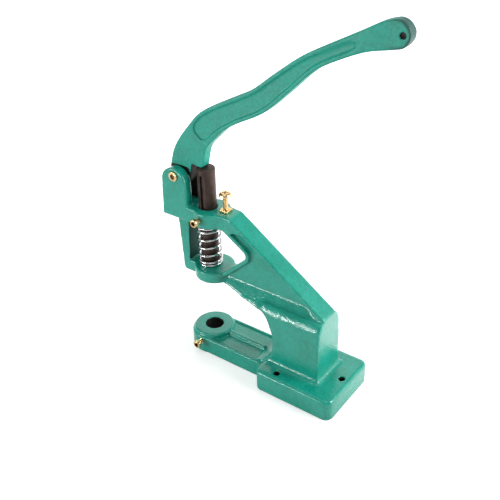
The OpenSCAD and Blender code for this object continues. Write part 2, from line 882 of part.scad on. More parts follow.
module pivot_nut() {
    from = head_w / 2 + pivot_washer_t + 2 * seat_gap;
    color(yellow_zinc)
        translate([-pivot_reach, 0, pivot_h])
            difference() {
                bar_y(pivot_nut_af / 2 / cos(30), from, from + pivot_nut_t, fn = 6);
                bar_y(pivot_hole_r, from - over, from + pivot_nut_t + over);
            }
}

// Stop screw and its square lock nut

module stop_screw() {
    head_base = head_top + stop_rise;
    slot = screw_d / 4;
    color(yellow_zinc)
        translate([stop_x, 0, 0])
            difference() {
                union() {
                    translate([0, 0, head_base - stop_screw_l])
                        cylinder(d = screw_d, h = stop_screw_l + stop_head_t / 2, $fn = small_fn);
                    translate([0, 0, head_base])
                        rotate_extrude($fn = small_fn)
                            polygon(rounded([
                                [0, 0, 0], [stop_head_d / 2, 0, 0],
                                [stop_head_d / 2, stop_head_t, stop_head_t * 0.8], [0, stop_head_t, 0]
                            ]));
                }
                for (a = [0, 90])
                    rotate([0, 0, a])
                        translate([-stop_head_d / 4, -slot / 2, head_base + stop_head_t / 2])
                            cube([stop_head_d / 2, slot, stop_head_t]);
            }
}

module stop_lock_nut() {
    color(yellow_zinc)
        translate([stop_x, 0, head_top + seat_gap])
            rotate([0, 0, lock_nut_turn])
                difference() {
                    translate([-lock_nut_af / 2, -lock_nut_af / 2, 0])
                        cube([lock_nut_af, lock_nut_af, lock_nut_t]);
                    translate([0, 0, -over]) cylinder(r = screw_hole_r, h = lock_nut_t + 2 * over, $fn = small_fn);
                }
}

// Socket screw along Y: its tip at tip_y and its outer face at face_y
module socket_screw(tip_y, face_y) {
    difference() {
        union() {
            bar_y(screw_d / 2, face_y + cap_head_l / 2, tip_y);
            bar_y(cap_head_d / 2, face_y, face_y + cap_head_l);
        }
        bar_y(cap_socket_af / 2 / cos(30), face_y - over, face_y + cap_head_l / 2, fn = 6);
    }
}

module ram_key_screw() {
    keyway_floor = -ram_d / 2 + keyway_depth;
    color(yellow_zinc)
        translate([key_x, 0, key_h])
            socket_screw(keyway_floor - move_gap, -key_reach);
}

module die_clamp_screw() {
    color(yellow_zinc)
        translate([0, 0, -clamp_drop])
            socket_screw(-die_bore_d / 2 - seat_gap, -arm_end_d / 2 - clamp_proud);
}

frame_casting();
hand_lever();
ram();
return_spring();
spring_washer();
retaining_ring();
pivot_bolt();
pivot_washer();
pivot_nut();
stop_screw();
stop_lock_nut();
ram_key_screw();
die_clamp_screw();
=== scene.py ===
# %% [markdown]
# # A hand lever eyelet machine
# The real object is a small bench press: one green iron casting that bolts to the bench, a curved
# hand lever, and a dark steel ram that a spring pushes back up.  Its exact solids are loaded as a
# frame first.  Everything made here sits on that frame, in metres, and moves with its bodies.

# %% Load the frame
import math

import bpy
from mathutils import Matrix, Vector


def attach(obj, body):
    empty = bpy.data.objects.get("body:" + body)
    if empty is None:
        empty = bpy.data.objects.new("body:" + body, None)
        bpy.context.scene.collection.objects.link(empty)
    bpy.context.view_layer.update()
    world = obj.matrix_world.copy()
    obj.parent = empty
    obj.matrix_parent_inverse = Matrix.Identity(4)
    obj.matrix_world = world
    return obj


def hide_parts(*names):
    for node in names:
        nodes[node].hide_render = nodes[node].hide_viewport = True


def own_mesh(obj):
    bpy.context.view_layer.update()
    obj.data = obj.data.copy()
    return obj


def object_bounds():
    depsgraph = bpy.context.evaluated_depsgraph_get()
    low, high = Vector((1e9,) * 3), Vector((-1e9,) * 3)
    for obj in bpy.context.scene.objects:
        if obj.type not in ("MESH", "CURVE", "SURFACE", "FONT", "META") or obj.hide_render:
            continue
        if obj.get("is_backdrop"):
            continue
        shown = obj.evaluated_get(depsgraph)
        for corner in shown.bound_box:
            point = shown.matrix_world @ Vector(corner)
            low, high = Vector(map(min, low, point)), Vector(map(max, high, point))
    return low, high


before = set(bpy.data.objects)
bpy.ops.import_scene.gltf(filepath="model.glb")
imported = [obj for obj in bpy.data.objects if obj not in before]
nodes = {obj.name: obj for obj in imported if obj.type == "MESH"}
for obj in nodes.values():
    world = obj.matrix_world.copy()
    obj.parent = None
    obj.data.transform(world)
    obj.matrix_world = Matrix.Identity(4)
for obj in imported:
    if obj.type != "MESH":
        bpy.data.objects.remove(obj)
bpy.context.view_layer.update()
MM = 0.001

# %% [markdown]
# Operators act on whatever is selected, so each step first clears the selection and then picks its
# own piece.  These few helpers are used from start to end.  Lengths are written in millimetres, as
# on a drawing, and multiplied by MM where Blender is given them.

# %% Helpers for picking and finishing pieces
def pick(*pieces):
    """Selects only these pieces; the first one is active."""
    if bpy.context.object and bpy.context.object.mode != "OBJECT":
        bpy.ops.object.mode_set(mode="OBJECT")
    bpy.ops.object.select_all(action="DESELECT")
    for piece in pieces:
        piece.select_set(True)
    bpy.context.view_layer.objects.active = pieces[0]


def settle(piece):
    """Moves a piece's place and turn into its mesh, so that its object sits at the origin."""
    pick(piece)
    bpy.ops.object.transform_apply(location=True, rotation=True, scale=True)
    return piece


def modify(piece, kind, **settings):
    """Adds one modifier with these settings and applies it."""
    pick(piece)
    bpy.ops.object.modifier_add(type=kind)
    modifier = piece.modifiers[-1]
    for key, value in settings.items():
        setattr(modifier, key, value)
    bpy.ops.object.modifier_apply(modifier=modifier.name)


def rename(piece, name):
    """Gives a piece and its mesh one name."""
    piece.name = name
    piece.data.name = name


def join(name, *pieces):
    """Joins pieces into the first one and names it."""
    pick(*pieces)
    bpy.ops.object.join()
    rename(pieces[0], name)
    return pieces[0]


def smooth(piece, degrees=35):
    """Smooth shading, with sharp edges above the angle."""
    pick(piece)
    bpy.ops.object.shade_smooth_by_angle(angle=math.radians(degrees))
    return piece


# %% [markdown]
# ## Finishes
# Each finish is a small node tree on Object coordinates, so its grain has a real size in metres and
# stays put when the piece moves.  An image texture could look as good from one side, but it would
# stretch over the casting's round forms.  Each helper adds one node and hands back its output.

# %% Node helpers
def start_material(name):
    """A new finish: the material, its nodes, its shader and the Object coordinates."""
    material = bpy.data.materials.new(name)
    material.use_nodes = True
    tree = material.node_tree
    place = tree.nodes.new("ShaderNodeTexCoord").outputs["Object"]
    print("finish:", name)
    return material, tree, tree.nodes["Principled BSDF"], place


def noise(tree, place, scale, detail, roughness=0.5, stretch=(1, 1, 1)):
    """A noise pattern; scale is in features per metre, stretch squeezes it along an axis."""
    mapping = tree.nodes.new("ShaderNodeMapping")
    mapping.inputs["Scale"].default_value = stretch
    tree.links.new(place, mapping.inputs["Vector"])
    pattern = tree.nodes.new("ShaderNodeTexNoise")
    pattern.inputs["Scale"].default_value = scale
    pattern.inputs["Detail"].default_value = detail
    pattern.inputs["Roughness"].default_value = roughness
    tree.links.new(mapping.outputs["Vector"], pattern.inputs["Vector"])
    return pattern.outputs["Fac"]


def ramp(tree, value, *stops):
    """A colour ramp; each stop is (position, (r, g, b))."""
    node = tree.nodes.new("ShaderNodeValToRGB")
    elements = node.color_ramp.elements
    while len(elements) < len(stops):
        elements.new(0.5)
    for element, (position, colour) in zip(elements, stops):
        element.position = position
        element.color = (*colour, 1)
    tree.links.new(value, node.inputs["Fac"])
    return node.outputs["Color"]


def span(tree, value, low, high, new_low, new_high):
    """Maps a value from one range to another."""
    node = tree.nodes.new("ShaderNodeMapRange")
    limits = {"From Min": low, "From Max": high, "To Min": new_low, "To Max": new_high}
    for key, number in limits.items():
        node.inputs[key].default_value = number
    tree.links.new(value, node.inputs["Value"])
    return node.outputs["Result"]


def calculate(tree, operation, *values):
    """One step of arithmetic on two or three values."""
    node = tree.nodes.new("ShaderNodeMath")
    node.operation = operation
    for socket, value in zip(node.inputs, values):
        tree.links.new(value, socket)
    return node.outputs["Value"]


def split(tree, vector):
    """The X, Y and Z of a vector."""
    node = tree.nodes.new("ShaderNodeSeparateXYZ")
    tree.links.new(vector, node.inputs["Vector"])
    return node.outputs


def vector_step(tree, operation, first, second=(0, 0, 0)):
    """One step of arithmetic on a vector and a fixed one."""
    node = tree.nodes.new("ShaderNodeVectorMath")
    node.operation = operation
    node.inputs[1].default_value = second
    tree.links.new(first, node.inputs[0])
    return node.outputs


def bump(tree, height, depth, below=None):
    """A bump of real depth in metres, laid over another one."""
    node = tree.nodes.new("ShaderNodeBump")
    node.inputs["Strength"].default_value = 1.0
    node.inputs["Distance"].default_value = depth
    tree.links.new(height, node.inputs["Height"])
    if below is not None:
        tree.links.new(below, node.inputs["Normal"])
    return node.outputs["Normal"]


def vary(tree, surface, pattern, smoothest, roughest, *stops):
    """Lets a pattern set the colour, between the stops, and the roughness."""
    tree.links.new(ramp(tree, pattern, *stops), surface.inputs["Base Color"])
    tree.links.new(span(tree, pattern, 0.3, 0.7, smoothest, roughest), surface.inputs["Roughness"])


# %% [markdown]
# The casting and the lever are grey iron under one thick coat of gloss sea-green enamel.  The sand
# of the mould leaves grains about a millimetre wide, the enamel runs over them in soft waves, and
# its colour is a little thinner on some places than on others.  The grain could be modelled, but it
# is finer than any useful mesh, so it is a bump.  Hands have worn the lever to a satin finish, so
# the same finish is made once more for it, less glossy.

# %% Gloss enamel on cast iron
deep_green, light_green = (0.004, 0.285, 0.205), (0.010, 0.350, 0.262)


def cast_enamel(name, smoothest, roughest, shine, coat):
    """Enamel over sand-cast iron, between two greens and two roughnesses."""
    material, tree, surface, place = start_material(name)
    patches = noise(tree, place, scale=55, detail=3)
    fine = noise(tree, place, scale=420, detail=4, roughness=0.6)
    grain = noise(tree, place, scale=650, detail=2)
    waves = noise(tree, place, scale=130, detail=2)
    tone = ramp(tree, patches, (0.30, deep_green), (0.70, light_green))
    speck = ramp(tree, fine, (0.30, (0.74, 0.80, 0.78)), (0.60, (1.0, 1.0, 1.0)))
    mix = tree.nodes.new("ShaderNodeMix")
    mix.data_type = "RGBA"
    mix.blend_type = "MULTIPLY"
    mix.inputs["Factor"].default_value = 1.0
    tree.links.new(tone, mix.inputs["A"])
    tree.links.new(speck, mix.inputs["B"])
    tree.links.new(mix.outputs["Result"], surface.inputs["Base Color"])
    tree.links.new(span(tree, patches, 0.3, 0.7, smoothest, roughest), surface.inputs["Roughness"])
    skin = bump(tree, grain, 0.24 * MM, bump(tree, waves, 0.2 * MM))
    tree.links.new(skin, surface.inputs["Normal"])
    tree.links.new(skin, surface.inputs["Coat Normal"])
    surface.inputs["Specular IOR Level"].default_value = shine
    surface.inputs["Coat Weight"].default_value = coat
    surface.inputs["Coat Roughness"].default_value = 0.08
    return material


enamel = cast_enamel("enamel", smoothest=0.16, roughest=0.24, shine=0.5, coat=0.3)
lever_enamel = cast_enamel("lever_enamel", smoothest=0.42, roughest=0.54, shine=0.35, coat=0.0)

# %% [markdown]
# The rim of the lever's palm gets less light than its flat faces, so a darker, greyer tone is
# painted on it as shade.  Giving those faces a material of their own would leave a hard border.  A
# mask instead takes the distance to the middle of the palm's round end, along the lever's flat
# faces, and blends the painted shade in over the last 2 mm.

# %% Painted shade on the rim of the palm
palm_middle = (147.3 * MM, 0, 268.2 * MM)
tree = lever_enamel.node_tree
place = tree.nodes.new("ShaderNodeTexCoord").outputs["Object"]
flat = vector_step(tree, "MULTIPLY", place, (1, 0, 1))["Vector"]
away = vector_step(tree, "DISTANCE", flat, palm_middle)["Value"]
rim = span(tree, away, 6.4 * MM, 8.2 * MM, 0, 1)
end = span(tree, split(tree, place)["X"], 141 * MM, 150 * MM, 0, 1)
surface = tree.nodes["Principled BSDF"]
green = surface.inputs["Base Color"].links[0].from_socket
mix = tree.nodes.new("ShaderNodeMix")
mix.data_type = "RGBA"
tree.links.new(calculate(tree, "MULTIPLY", rim, end), mix.inputs["Factor"])
tree.links.new(green, mix.inputs["A"])
# This darker green on the rim is painted shade.
mix.inputs["B"].default_value = (0.022, 0.090, 0.076, 1)
tree.links.new(mix.outputs["Result"], surface.inputs["Base Color"])
print("worn rim on", lever_enamel.name)

# %% [markdown]
# The ram is turned steel with a dark oil-blackened skin, brown where it has worn.  Turning leaves
# fine rings.  Cutting them into the bar would take many thousand faces for lines that are hardly
# seen, so a noise squeezed along the ram's axis shows them.

# %% Dark oiled steel
dark_steel, tree, surface, place = start_material("dark_steel")
rings = noise(tree, place, scale=260, detail=4, roughness=0.6, stretch=(0.15, 0.15, 12))
stains = noise(tree, place, scale=140, detail=4, roughness=0.6)
vary(tree, surface, stains, 0.34, 0.56,
     (0.30, (0.026, 0.015, 0.012)), (0.72, (0.070, 0.042, 0.034)))
surface.inputs["Metallic"].default_value = 0.55
tree.links.new(bump(tree, rings, 0.08 * MM), surface.inputs["Normal"])

# %% [markdown]
# The spring, its washer and the ring are bright plated steel.  A plain metal shader would do, but
# faint marks along the wire keep the highlights from looking like glass.

# %% Bright plated steel
bright_steel, tree, surface, place = start_material("bright_steel")
marks = noise(tree, place, scale=500, detail=3, stretch=(1, 1, 6))
vary(tree, surface, marks, 0.10, 0.22, (0.35, (0.66, 0.66, 0.67)), (0.65, (0.84, 0.84, 0.85)))
surface.inputs["Metallic"].default_value = 1.0
tree.links.new(bump(tree, marks, 0.03 * MM), surface.inputs["Normal"])

# %% [markdown]
# The screws and the nuts are steel with yellow zinc plating, gold with a coppery tint in patches.
# One noise sets both the tint and the gloss, as the plating's thickness does on the real ones.

# %% Yellow zinc plating
yellow_zinc, tree, surface, place = start_material("yellow_zinc")
tint = noise(tree, place, scale=260, detail=2)
vary(tree, surface, tint, 0.20, 0.34,
     (0.30, (0.62, 0.34, 0.13)), (0.50, (0.78, 0.57, 0.28)), (0.75, (0.88, 0.77, 0.50)))
surface.inputs["Metallic"].default_value = 1.0

# %% [markdown]
# Little plating gets down into the sockets of the screws, so there it is thin, brown and dull.
# Depth alone would not darken a socket this small, so it gets a finish of its own whose dark brown
# is also painted shade.

# %% Thin plating in the sockets, with painted shade
socket_zinc_and_shade, tree, surface, place = start_material("socket_zinc_and_shade")
film = noise(tree, place, scale=500, detail=2)
vary(tree, surface, film, 0.40, 0.55, (0.30, (0.055, 0.016, 0.008)), (0.70, (0.240, 0.085, 0.040)))
surface.inputs["Metallic"].default_value = 0.6

# %% [markdown]
# The bores are machined after casting and stay bare, dark with oil.  Bare iron under oil shines
# little, so both the metallic part and the specular level are low.  The same dark finish is also
# painted shade on the cheeks of the lever's slot and on the lever's hub, where the shade between
# the ears falls.

# %% Oily bare iron in the bores, also painted shade in the lever's slot
bare_iron_and_shade, tree, surface, place = start_material("bare_iron_and_shade")
film = noise(tree, place, scale=300, detail=3)
vary(tree, surface, film, 0.45, 0.65, (0.30, (0.012, 0.013, 0.011)), (0.70, (0.032, 0.030, 0.026)))
surface.inputs["Metallic"].default_value = 0.25
surface.inputs["Specular IOR Level"].default_value = 0.15

# %% [markdown]
# The narrow inner side of the strut lies in shade, so it is painted dark green as shade, and it
# hardly shines.

# %% Painted shade inside the strut
painted_shade_enamel, tree, surface, place = start_material("painted_shade_enamel")
film = noise(tree, place, scale=420, detail=4, roughness=0.6)
vary(tree, surface, film, 0.5, 0.7, (0.35, (0.004, 0.040, 0.032)), (0.65, (0.012, 0.130, 0.100)))
surface.inputs["Specular IOR Level"].default_value = 0.25

# %% [markdown]
# ## The frame casting
# A sand casting has no sharp edge anywhere: corners are round and inner corners are filled by the
# sand.  Bevelling every edge of the exact solid by hand would be long and fragile, so a copy of it
# is remeshed on an even grid of 0.78 mm and then smoothed, which rounds each edge by about a grid
# step and leaves the big faces where they are.

# %% Make the soft-edged casting
def cast_copy(node, name, grid):
    """A copy of a solid as a casting with soft edges."""
    pick(nodes[node])
    bpy.ops.object.duplicate(linked=False)
    piece = bpy.context.object
    piece.parent = None
    for key in list(piece.keys()):
        del piece[key]
    rename(piece, name)
    pick(piece)
    bpy.ops.object.mode_set(mode="EDIT")
    bpy.ops.mesh.select_all(action="SELECT")
    bpy.ops.mesh.remove_doubles(threshold=0.002 * MM)
    bpy.ops.object.mode_set(mode="OBJECT")
    modify(piece, "REMESH", mode="VOXEL", voxel_size=grid * MM, use_smooth_shade=True)
    modify(piece, "SMOOTH", factor=0.5, iterations=3)
    print(name, "has", len(piece.data.polygons), "faces")
    return piece


def dress(piece, material, body, node):
    """Gives a piece its finish, unless it has two already, puts it on its body and hides the solid
    that it stands for.
    """
    if len(piece.data.materials) < 2:
        piece.data.materials.clear()
        piece.data.materials.append(material)
    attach(piece, body)
    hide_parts(node)


casting = cast_copy("frame_casting", "casting", grid=0.78)
dress(casting, enamel, "frame", "frame_casting")

# %% [markdown]
# The flange's underside is softer than the rest: sand was packed against the web there, so the
# flange runs out into it.  Smoothing the whole casting more would thin its edges, so only the
# vertices below the slope are picked, by their place, and smoothed.

# %% Soften the flange
def pick_where(piece, test):
    """Goes into edit mode with the vertices selected whose place in mm passes a test."""
    pick(piece)
    bpy.ops.object.mode_set(mode="EDIT")
    bpy.ops.mesh.select_mode(type="VERT")
    bpy.ops.mesh.select_all(action="DESELECT")
    bpy.ops.object.mode_set(mode="OBJECT")
    chosen = [vertex for vertex in piece.data.vertices if test(*(vertex.co / MM))]
    for vertex in chosen:
        vertex.select = True
    bpy.ops.object.mode_set(mode="EDIT")
    print("vertices picked on the", piece.name + ":", len(chosen))


def soften(piece, test, rounds):
    """Smooths the part of a piece that passes a test."""
    pick_where(piece, test)
    bpy.ops.mesh.vertices_smooth(factor=0.5, repeat=rounds)
    bpy.ops.object.mode_set(mode="OBJECT")


slope_top, slope_fall = Vector((26, 0, 113)), Vector((85, 0, -58.6))
slope_way = slope_fall.normalized()
slope_up = Vector((-slope_way.z, 0, slope_way.x))


def below_slope(x, y, z):
    """True on the flange's sides and underside, but not on its top or in its middle."""
    from_top = Vector((x, y, z)) - slope_top
    return 4 < from_top.dot(slope_way) < 100 and -7.5 < from_top.dot(slope_up) < -0.8 and abs(y) > 4


soften(casting, below_slope, rounds=14)

# %% [markdown]
# The bend where each side of the column turns into its slope is wide and soft.  It could be carved
# with a brush, but a brush stroke is hard to repeat.  The middle of the bend is lifted with
# proportional editing instead, which opens it, and then the whole bend is smoothed.  The throat's
# edges and the foot of the column get a few more rounds of smoothing too.

# %% Open the shoulder's bend and soften the throat and the foot
def in_box(along, out, up):
    """A test for places between these limits in x, in distance from the middle, and in z."""
    return lambda x, y, z: (
        along[0] < x < along[1] and out[0] < abs(y) < out[1] and up[0] < z < up[1])


def on_throat(x, y, z):
    """True close to the throat's sloping ceiling or to the arc that follows it."""
    band, arc_x, arc_z, arc_radius = 2.2, 43.5, 19.8, 26
    if abs(y) < 3 or x < 20 or z < 24:
        return False
    if x < 37.5:
        ceiling = 56.8 - 0.236 * x
        return abs(z - ceiling) < band
    return abs(math.hypot(x - arc_x, z - arc_z) - arc_radius) < band


bend_middle = in_box((60, math.inf), (10.5, math.inf), (40, 46.5))
whole_bend = in_box((56, math.inf), (8, math.inf), (33, 53))
throat_side = in_box((44, 67), (7, math.inf), (36, 51))
column_foot = in_box((72, 108), (14.5, 22), (-2, 7))
pick_where(casting, bend_middle)
bpy.ops.transform.translate(value=(0, 0, 4.2 * MM), use_proportional_edit=True,
                            proportional_edit_falloff="SMOOTH", proportional_size=8.5 * MM)
soften(casting, whole_bend, rounds=12)
soften(casting, on_throat, rounds=16)
soften(casting, throat_side, rounds=16)
soften(casting, column_foot, rounds=12)

# %% [markdown]
# The die bore, the bolt holes and the guide bores are bare inside.  They could be separate liners,
# but on the real machine they are the same piece of iron, so their faces are picked by their place
# and get the second finish.  The cheeks of the slot that the lever turns in get that dark finish
# too, as painted shade for the deep shade between the ears.  The strut's inner side is picked in
# the same way and gets the third, which is painted shade as well.

# %% Bare bores, and painted shade in the slot and inside the strut
plate_low, below_edge = -18.5, -0.6
bores = [  # x, y, radius, lowest and highest point
    (0, 0, 7.5, plate_low, below_edge),
    (79, 23, 2.5, plate_low, below_edge),
    (79, -23, 2.5, plate_low, below_edge),
    (123.5, 0, 2.5, plate_low, below_edge),
    (0, 0, 7.05, 53.0, 61.2),
    (0, 0, 7.05, 101.5, 112.5),
]
inner_strut = in_box((-16.5, -11.5), (-math.inf, math.inf), (63, 101))
shaded_slot_cheeks = in_box((-math.inf, -9), (-math.inf, 4.75), (114, math.inf))
casting.data.materials.append(bare_iron_and_shade)
casting.data.materials.append(painted_shade_enamel)
for face in casting.data.polygons:
    x, y, z = face.center / MM
    for bore_x, bore_y, radius, low, high in bores:
        if low < z < high and math.hypot(x - bore_x, y - bore_y) < radius + 0.5:
            face.material_index = 1
    if shaded_slot_cheeks(x, y, z):
        face.material_index = 1
    if inner_strut(x, y, z) and face.normal.x > 0.5:
        face.material_index = 2
print("bare faces:", sum(face.material_index > 0 for face in casting.data.polygons))

# %% [markdown]
# ## The hand lever
# The lever is a casting too, flat on both faces, with a shallow channel along each.  It is made the
# same way on a finer grid, because its channel's lip is only a few millimetres wide.

# %% Make the lever
lever = cast_copy("hand_lever", "lever", grid=0.55)
dress(lever, lever_enamel, "lever", "hand_lever")

# %% [markdown]
# The palm's edges are rounder than the rest of the lever, so that it lies well in the hand.  The
# hole that the machine hangs by is left crisp.

# %% Round the palm
def from_hole(x, z):
    """Distance to the axis of the hole in the palm."""
    return math.hypot(x - 151.3, z - 268.2)


soften(lever, lambda x, y, z: x > 96 and abs(y) > 2.5 and from_hole(x, z) > 5, rounds=10)

# %% [markdown]
# The hole in its palm is machined and dark with oil.  The rim of its hub, up to the notch that
# clears the ram, rubs bare, and its dark finish there is also painted shade for the shade between
# the ears and beside the ram.

# %% Bare hole, and painted shade on the rim of the hub
pivot_x, pivot_z = -22.3, 136.7
lever.data.materials.append(bare_iron_and_shade)
for face in lever.data.polygons:
    x, y, z = face.center / MM
    on_side = abs(face.normal.y) > 0.5
    hub = math.hypot(x - pivot_x, z - pivot_z) < 10.6 and z < 143
    notch = -18 < x < -4 and z < 150 and not on_side
    hole = from_hole(x, z) < 2.6 and not on_side
    if hub or notch or hole:
        face.material_index = 1
print("bare faces:", sum(face.material_index > 0 for face in lever.data.polygons))

# %% [markdown]
# ## The ram, its washer and its ring
# The turned bar and the two stamped rings are right as they are, so their solids stay and only get
# their finish.

# %% Finish the turned and stamped solids
def refinish(material, *names):
    """Gives solids of the frame a finish."""
    for name in names:
        nodes[name].data.materials.clear()
        nodes[name].data.materials.append(material)
    print("finished:", ", ".join(names))


refinish(dark_steel, "ram")
refinish(bright_steel, "spring_washer", "retaining_ring")

# %% [markdown]
# ## The return spring
# A spring is drawn as its centre line first: closed turns at both ends and open turns between.  The
# Screw modifier could wind it too, but only at one pitch.  A curve with a round bevel gives the
# wire, and it becomes a mesh.

# %% Draw the wire
spring_low, spring_high = 61.65, 98.45
wire, mean_radius = 1.8, 8.8
closed, open_turns, closed_pitch = 1.25, 4.0, 2.7
first_angle = -106
turns = open_turns + 2 * closed
rise = spring_high - spring_low - wire
open_pitch = (rise - 2 * closed * closed_pitch) / open_turns


def coil_height(turn):
    """Height of the wire above its first point."""
    if turn < closed:
        return turn * closed_pitch
    if turn < closed + open_turns:
        return closed * closed_pitch + (turn - closed) * open_pitch
    return rise - (turns - turn) * closed_pitch


def coil_point(turn):
    """Centre of the wire, its pitch eased over a quarter of a turn."""
    angle = math.radians(first_angle + 360 * turn)
    near = [coil_height(min(max(turn + step / 16, 0), turns)) for step in (-2, -1, 0, 1, 2)]
    return Vector((mean_radius * math.cos(angle), mean_radius * math.sin(angle),
                   spring_low + wire / 2 + sum(near) / 5)) * MM


bpy.ops.curve.primitive_nurbs_path_add(location=(0, 0, 0))
spring = bpy.context.object
spring.name = "spring"
spring.data.splines.clear()
line = spring.data.splines.new("POLY")
steps = int(turns * 40)
line.points.add(steps)
for index, point in enumerate(line.points):
    point.co = (*coil_point(turns * index / steps), 1)
spring.data.bevel_depth = wire / 2 * MM
spring.data.bevel_resolution = 3
spring.data.use_fill_caps = True
spring.data.twist_mode = "Z_UP"
pick(spring)
bpy.ops.object.convert(target="MESH")
spring = smooth(bpy.context.object, 60)
dress(spring, bright_steel, "frame", "return_spring")
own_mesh(spring)
print("spring:", len(spring.data.polygons), "faces, open pitch", round(open_pitch, 2), "mm")

# %% [markdown]
# ## Screws
# Each screw is a round bar with a ridge wound round it.  A bump could fake the thread, but its
# outline shows against the light.  The ridge is a triangle swept by the Screw modifier, one turn
# per pitch, and closed at both ends.  Heads are cylinders with bevelled rims, and a hexagonal
# socket is cut out of them with a Boolean.

# %% Screw parts
shank_radius, thread_radius, pitch = 1.78, 1.98, 0.7
ridge_size = pitch * 0.42


def bar(radius, length, base, edge, sides=48):
    """An upright round bar with bevelled rims, its foot at base."""
    bpy.ops.mesh.primitive_cylinder_add(vertices=sides, radius=radius * MM, depth=length * MM,
                                        location=(0, 0, (base + length / 2) * MM))
    piece = settle(bpy.context.object)
    if edge:
        modify(piece, "BEVEL", width=edge * MM, segments=3,
               limit_method="ANGLE", angle_limit=math.radians(50))
    piece.data.materials.append(yellow_zinc)
    return piece


def thread(base, length):
    """A helical ridge that stands on a screw's shank."""
    bpy.ops.mesh.primitive_circle_add(
        vertices=3, radius=ridge_size * MM, rotation=(math.pi / 2, math.pi / 2, 0),
        location=((thread_radius - ridge_size) * MM, 0, base * MM))
    ridge = settle(bpy.context.object)
    modify(ridge, "SCREW", axis="Z", angle=2 * math.pi, screw_offset=pitch * MM,
           steps=24, render_steps=24, iterations=int(length / pitch),
           use_smooth_shade=True, use_normal_calculate=True)
    bpy.ops.object.mode_set(mode="EDIT")
    bpy.ops.mesh.select_mode(type="EDGE")
    bpy.ops.mesh.select_all(action="DESELECT")
    bpy.ops.mesh.select_non_manifold()
    bpy.ops.mesh.edge_face_add()
    bpy.ops.mesh.select_all(action="SELECT")
    bpy.ops.mesh.normals_make_consistent(inside=False)
    bpy.ops.object.mode_set(mode="OBJECT")
    ridge.data.materials.append(yellow_zinc)
    return ridge


def cut(piece, cutter):
    """Cuts one piece out of another and removes the cutter."""
    settle(cutter)
    modify(piece, "BOOLEAN", operation="DIFFERENCE", object=cutter, solver="EXACT")
    bpy.data.objects.remove(cutter)


def socket_head(radius, height, top, edge, flats, depth):
    """A round head with a hexagonal socket, whose faces inside get the thin plating and painted
    shade.
    """
    head = bar(radius, height, top - height, edge)
    bpy.ops.mesh.primitive_cylinder_add(
        vertices=6, radius=flats / 2 / math.cos(math.pi / 6) * MM, depth=2 * depth * MM,
        location=(0, 0, top * MM))
    cut(head, bpy.context.object)
    head.data.materials.clear()
    head.data.materials.append(yellow_zinc)
    head.data.materials.append(socket_zinc_and_shade)
    for face in head.data.polygons:
        x, y, z = face.center / MM
        if top - 2.2 < z < top - 0.04 and math.hypot(x, y) < flats * 0.55:
            face.material_index = 1
    return head


def stand(piece, place, along_y=False):
    """Moves a piece that was made upright to its place, its head towards -Y if asked."""
    turn = Matrix.Rotation(math.pi / 2, 4, "X") if along_y else Matrix.Identity(4)
    piece.matrix_world = Matrix.Translation(Vector(place) * MM) @ turn
    return smooth(settle(piece))


# %% [markdown]
# The clamp screw and the key screw are the same M4 socket screw: a slim shank and a round head with
# a hexagonal socket.  Both point along Y, their heads on the near side.  They differ in length, so
# each is made anew and not copied.

# %% Socket screws
def socket_screw(name, tip_y, face_y, x, z):
    """An M4 socket screw along Y, its tip and its head's face at these places."""
    length = tip_y - face_y
    head = socket_head(radius=3.2, height=3.0, top=length, edge=0.5, flats=3.4, depth=1.7)
    shank = bar(shank_radius, length - 2.0, 0, edge=0.3)
    ridge = thread(0.5, length - 4.2)
    screw = stand(join(name, head, shank, ridge), (x, tip_y, z), along_y=True)
    print(name, "is", round(length, 2), "mm long,", len(screw.data.polygons), "faces")
    return screw


key_screw = socket_screw("key_screw", tip_y=-5.7, face_y=-20.2, x=1.2, z=106.6)
dress(key_screw, yellow_zinc, "frame", "ram_key_screw")
clamp_screw = socket_screw("clamp_screw", tip_y=-7.55, face_y=-25.2, x=0, z=-7.5)
dress(clamp_screw, yellow_zinc, "die_clamp_screw", "die_clamp_screw")

# %% [markdown]
# The pivot bolt has a low round head with a socket, and its plain shank carries the lever.  Beyond
# the far ear are a washer and a hexagonal nut.  The washer's solid is right as it is and only gets
# the plating.

# %% Pivot bolt, washer and nut
bolt_length = 33.25
bolt_head = socket_head(radius=3.9, height=1.2, top=bolt_length, edge=0.35, flats=4.0, depth=0.9)
bolt_shank = bar(3.0, bolt_length - 1.1, 0, edge=0.4)
bolt = join("pivot_bolt_piece", bolt_head, bolt_shank)
stand(bolt, (pivot_x, 19.9, pivot_z), along_y=True)
dress(bolt, yellow_zinc, "frame", "pivot_bolt")

nut = bar(5.7, 5.0, 0, edge=0.5, sides=6)
nut.name = "pivot_nut_piece"
stand(nut, (pivot_x, 18.4, pivot_z), along_y=True)
dress(nut, yellow_zinc, "frame", "pivot_nut")
refinish(yellow_zinc, "pivot_washer")

# %% [markdown]
# The stop screw ends the stroke.  It has a domed head with a cross recess, a threaded shank, and a
# square nut that locks it on the head of the casting.  A squashed ball could be the dome, but its
# rim would be thin.  A bar with one wide bevel round its top keeps a rim, as a pressed head has.

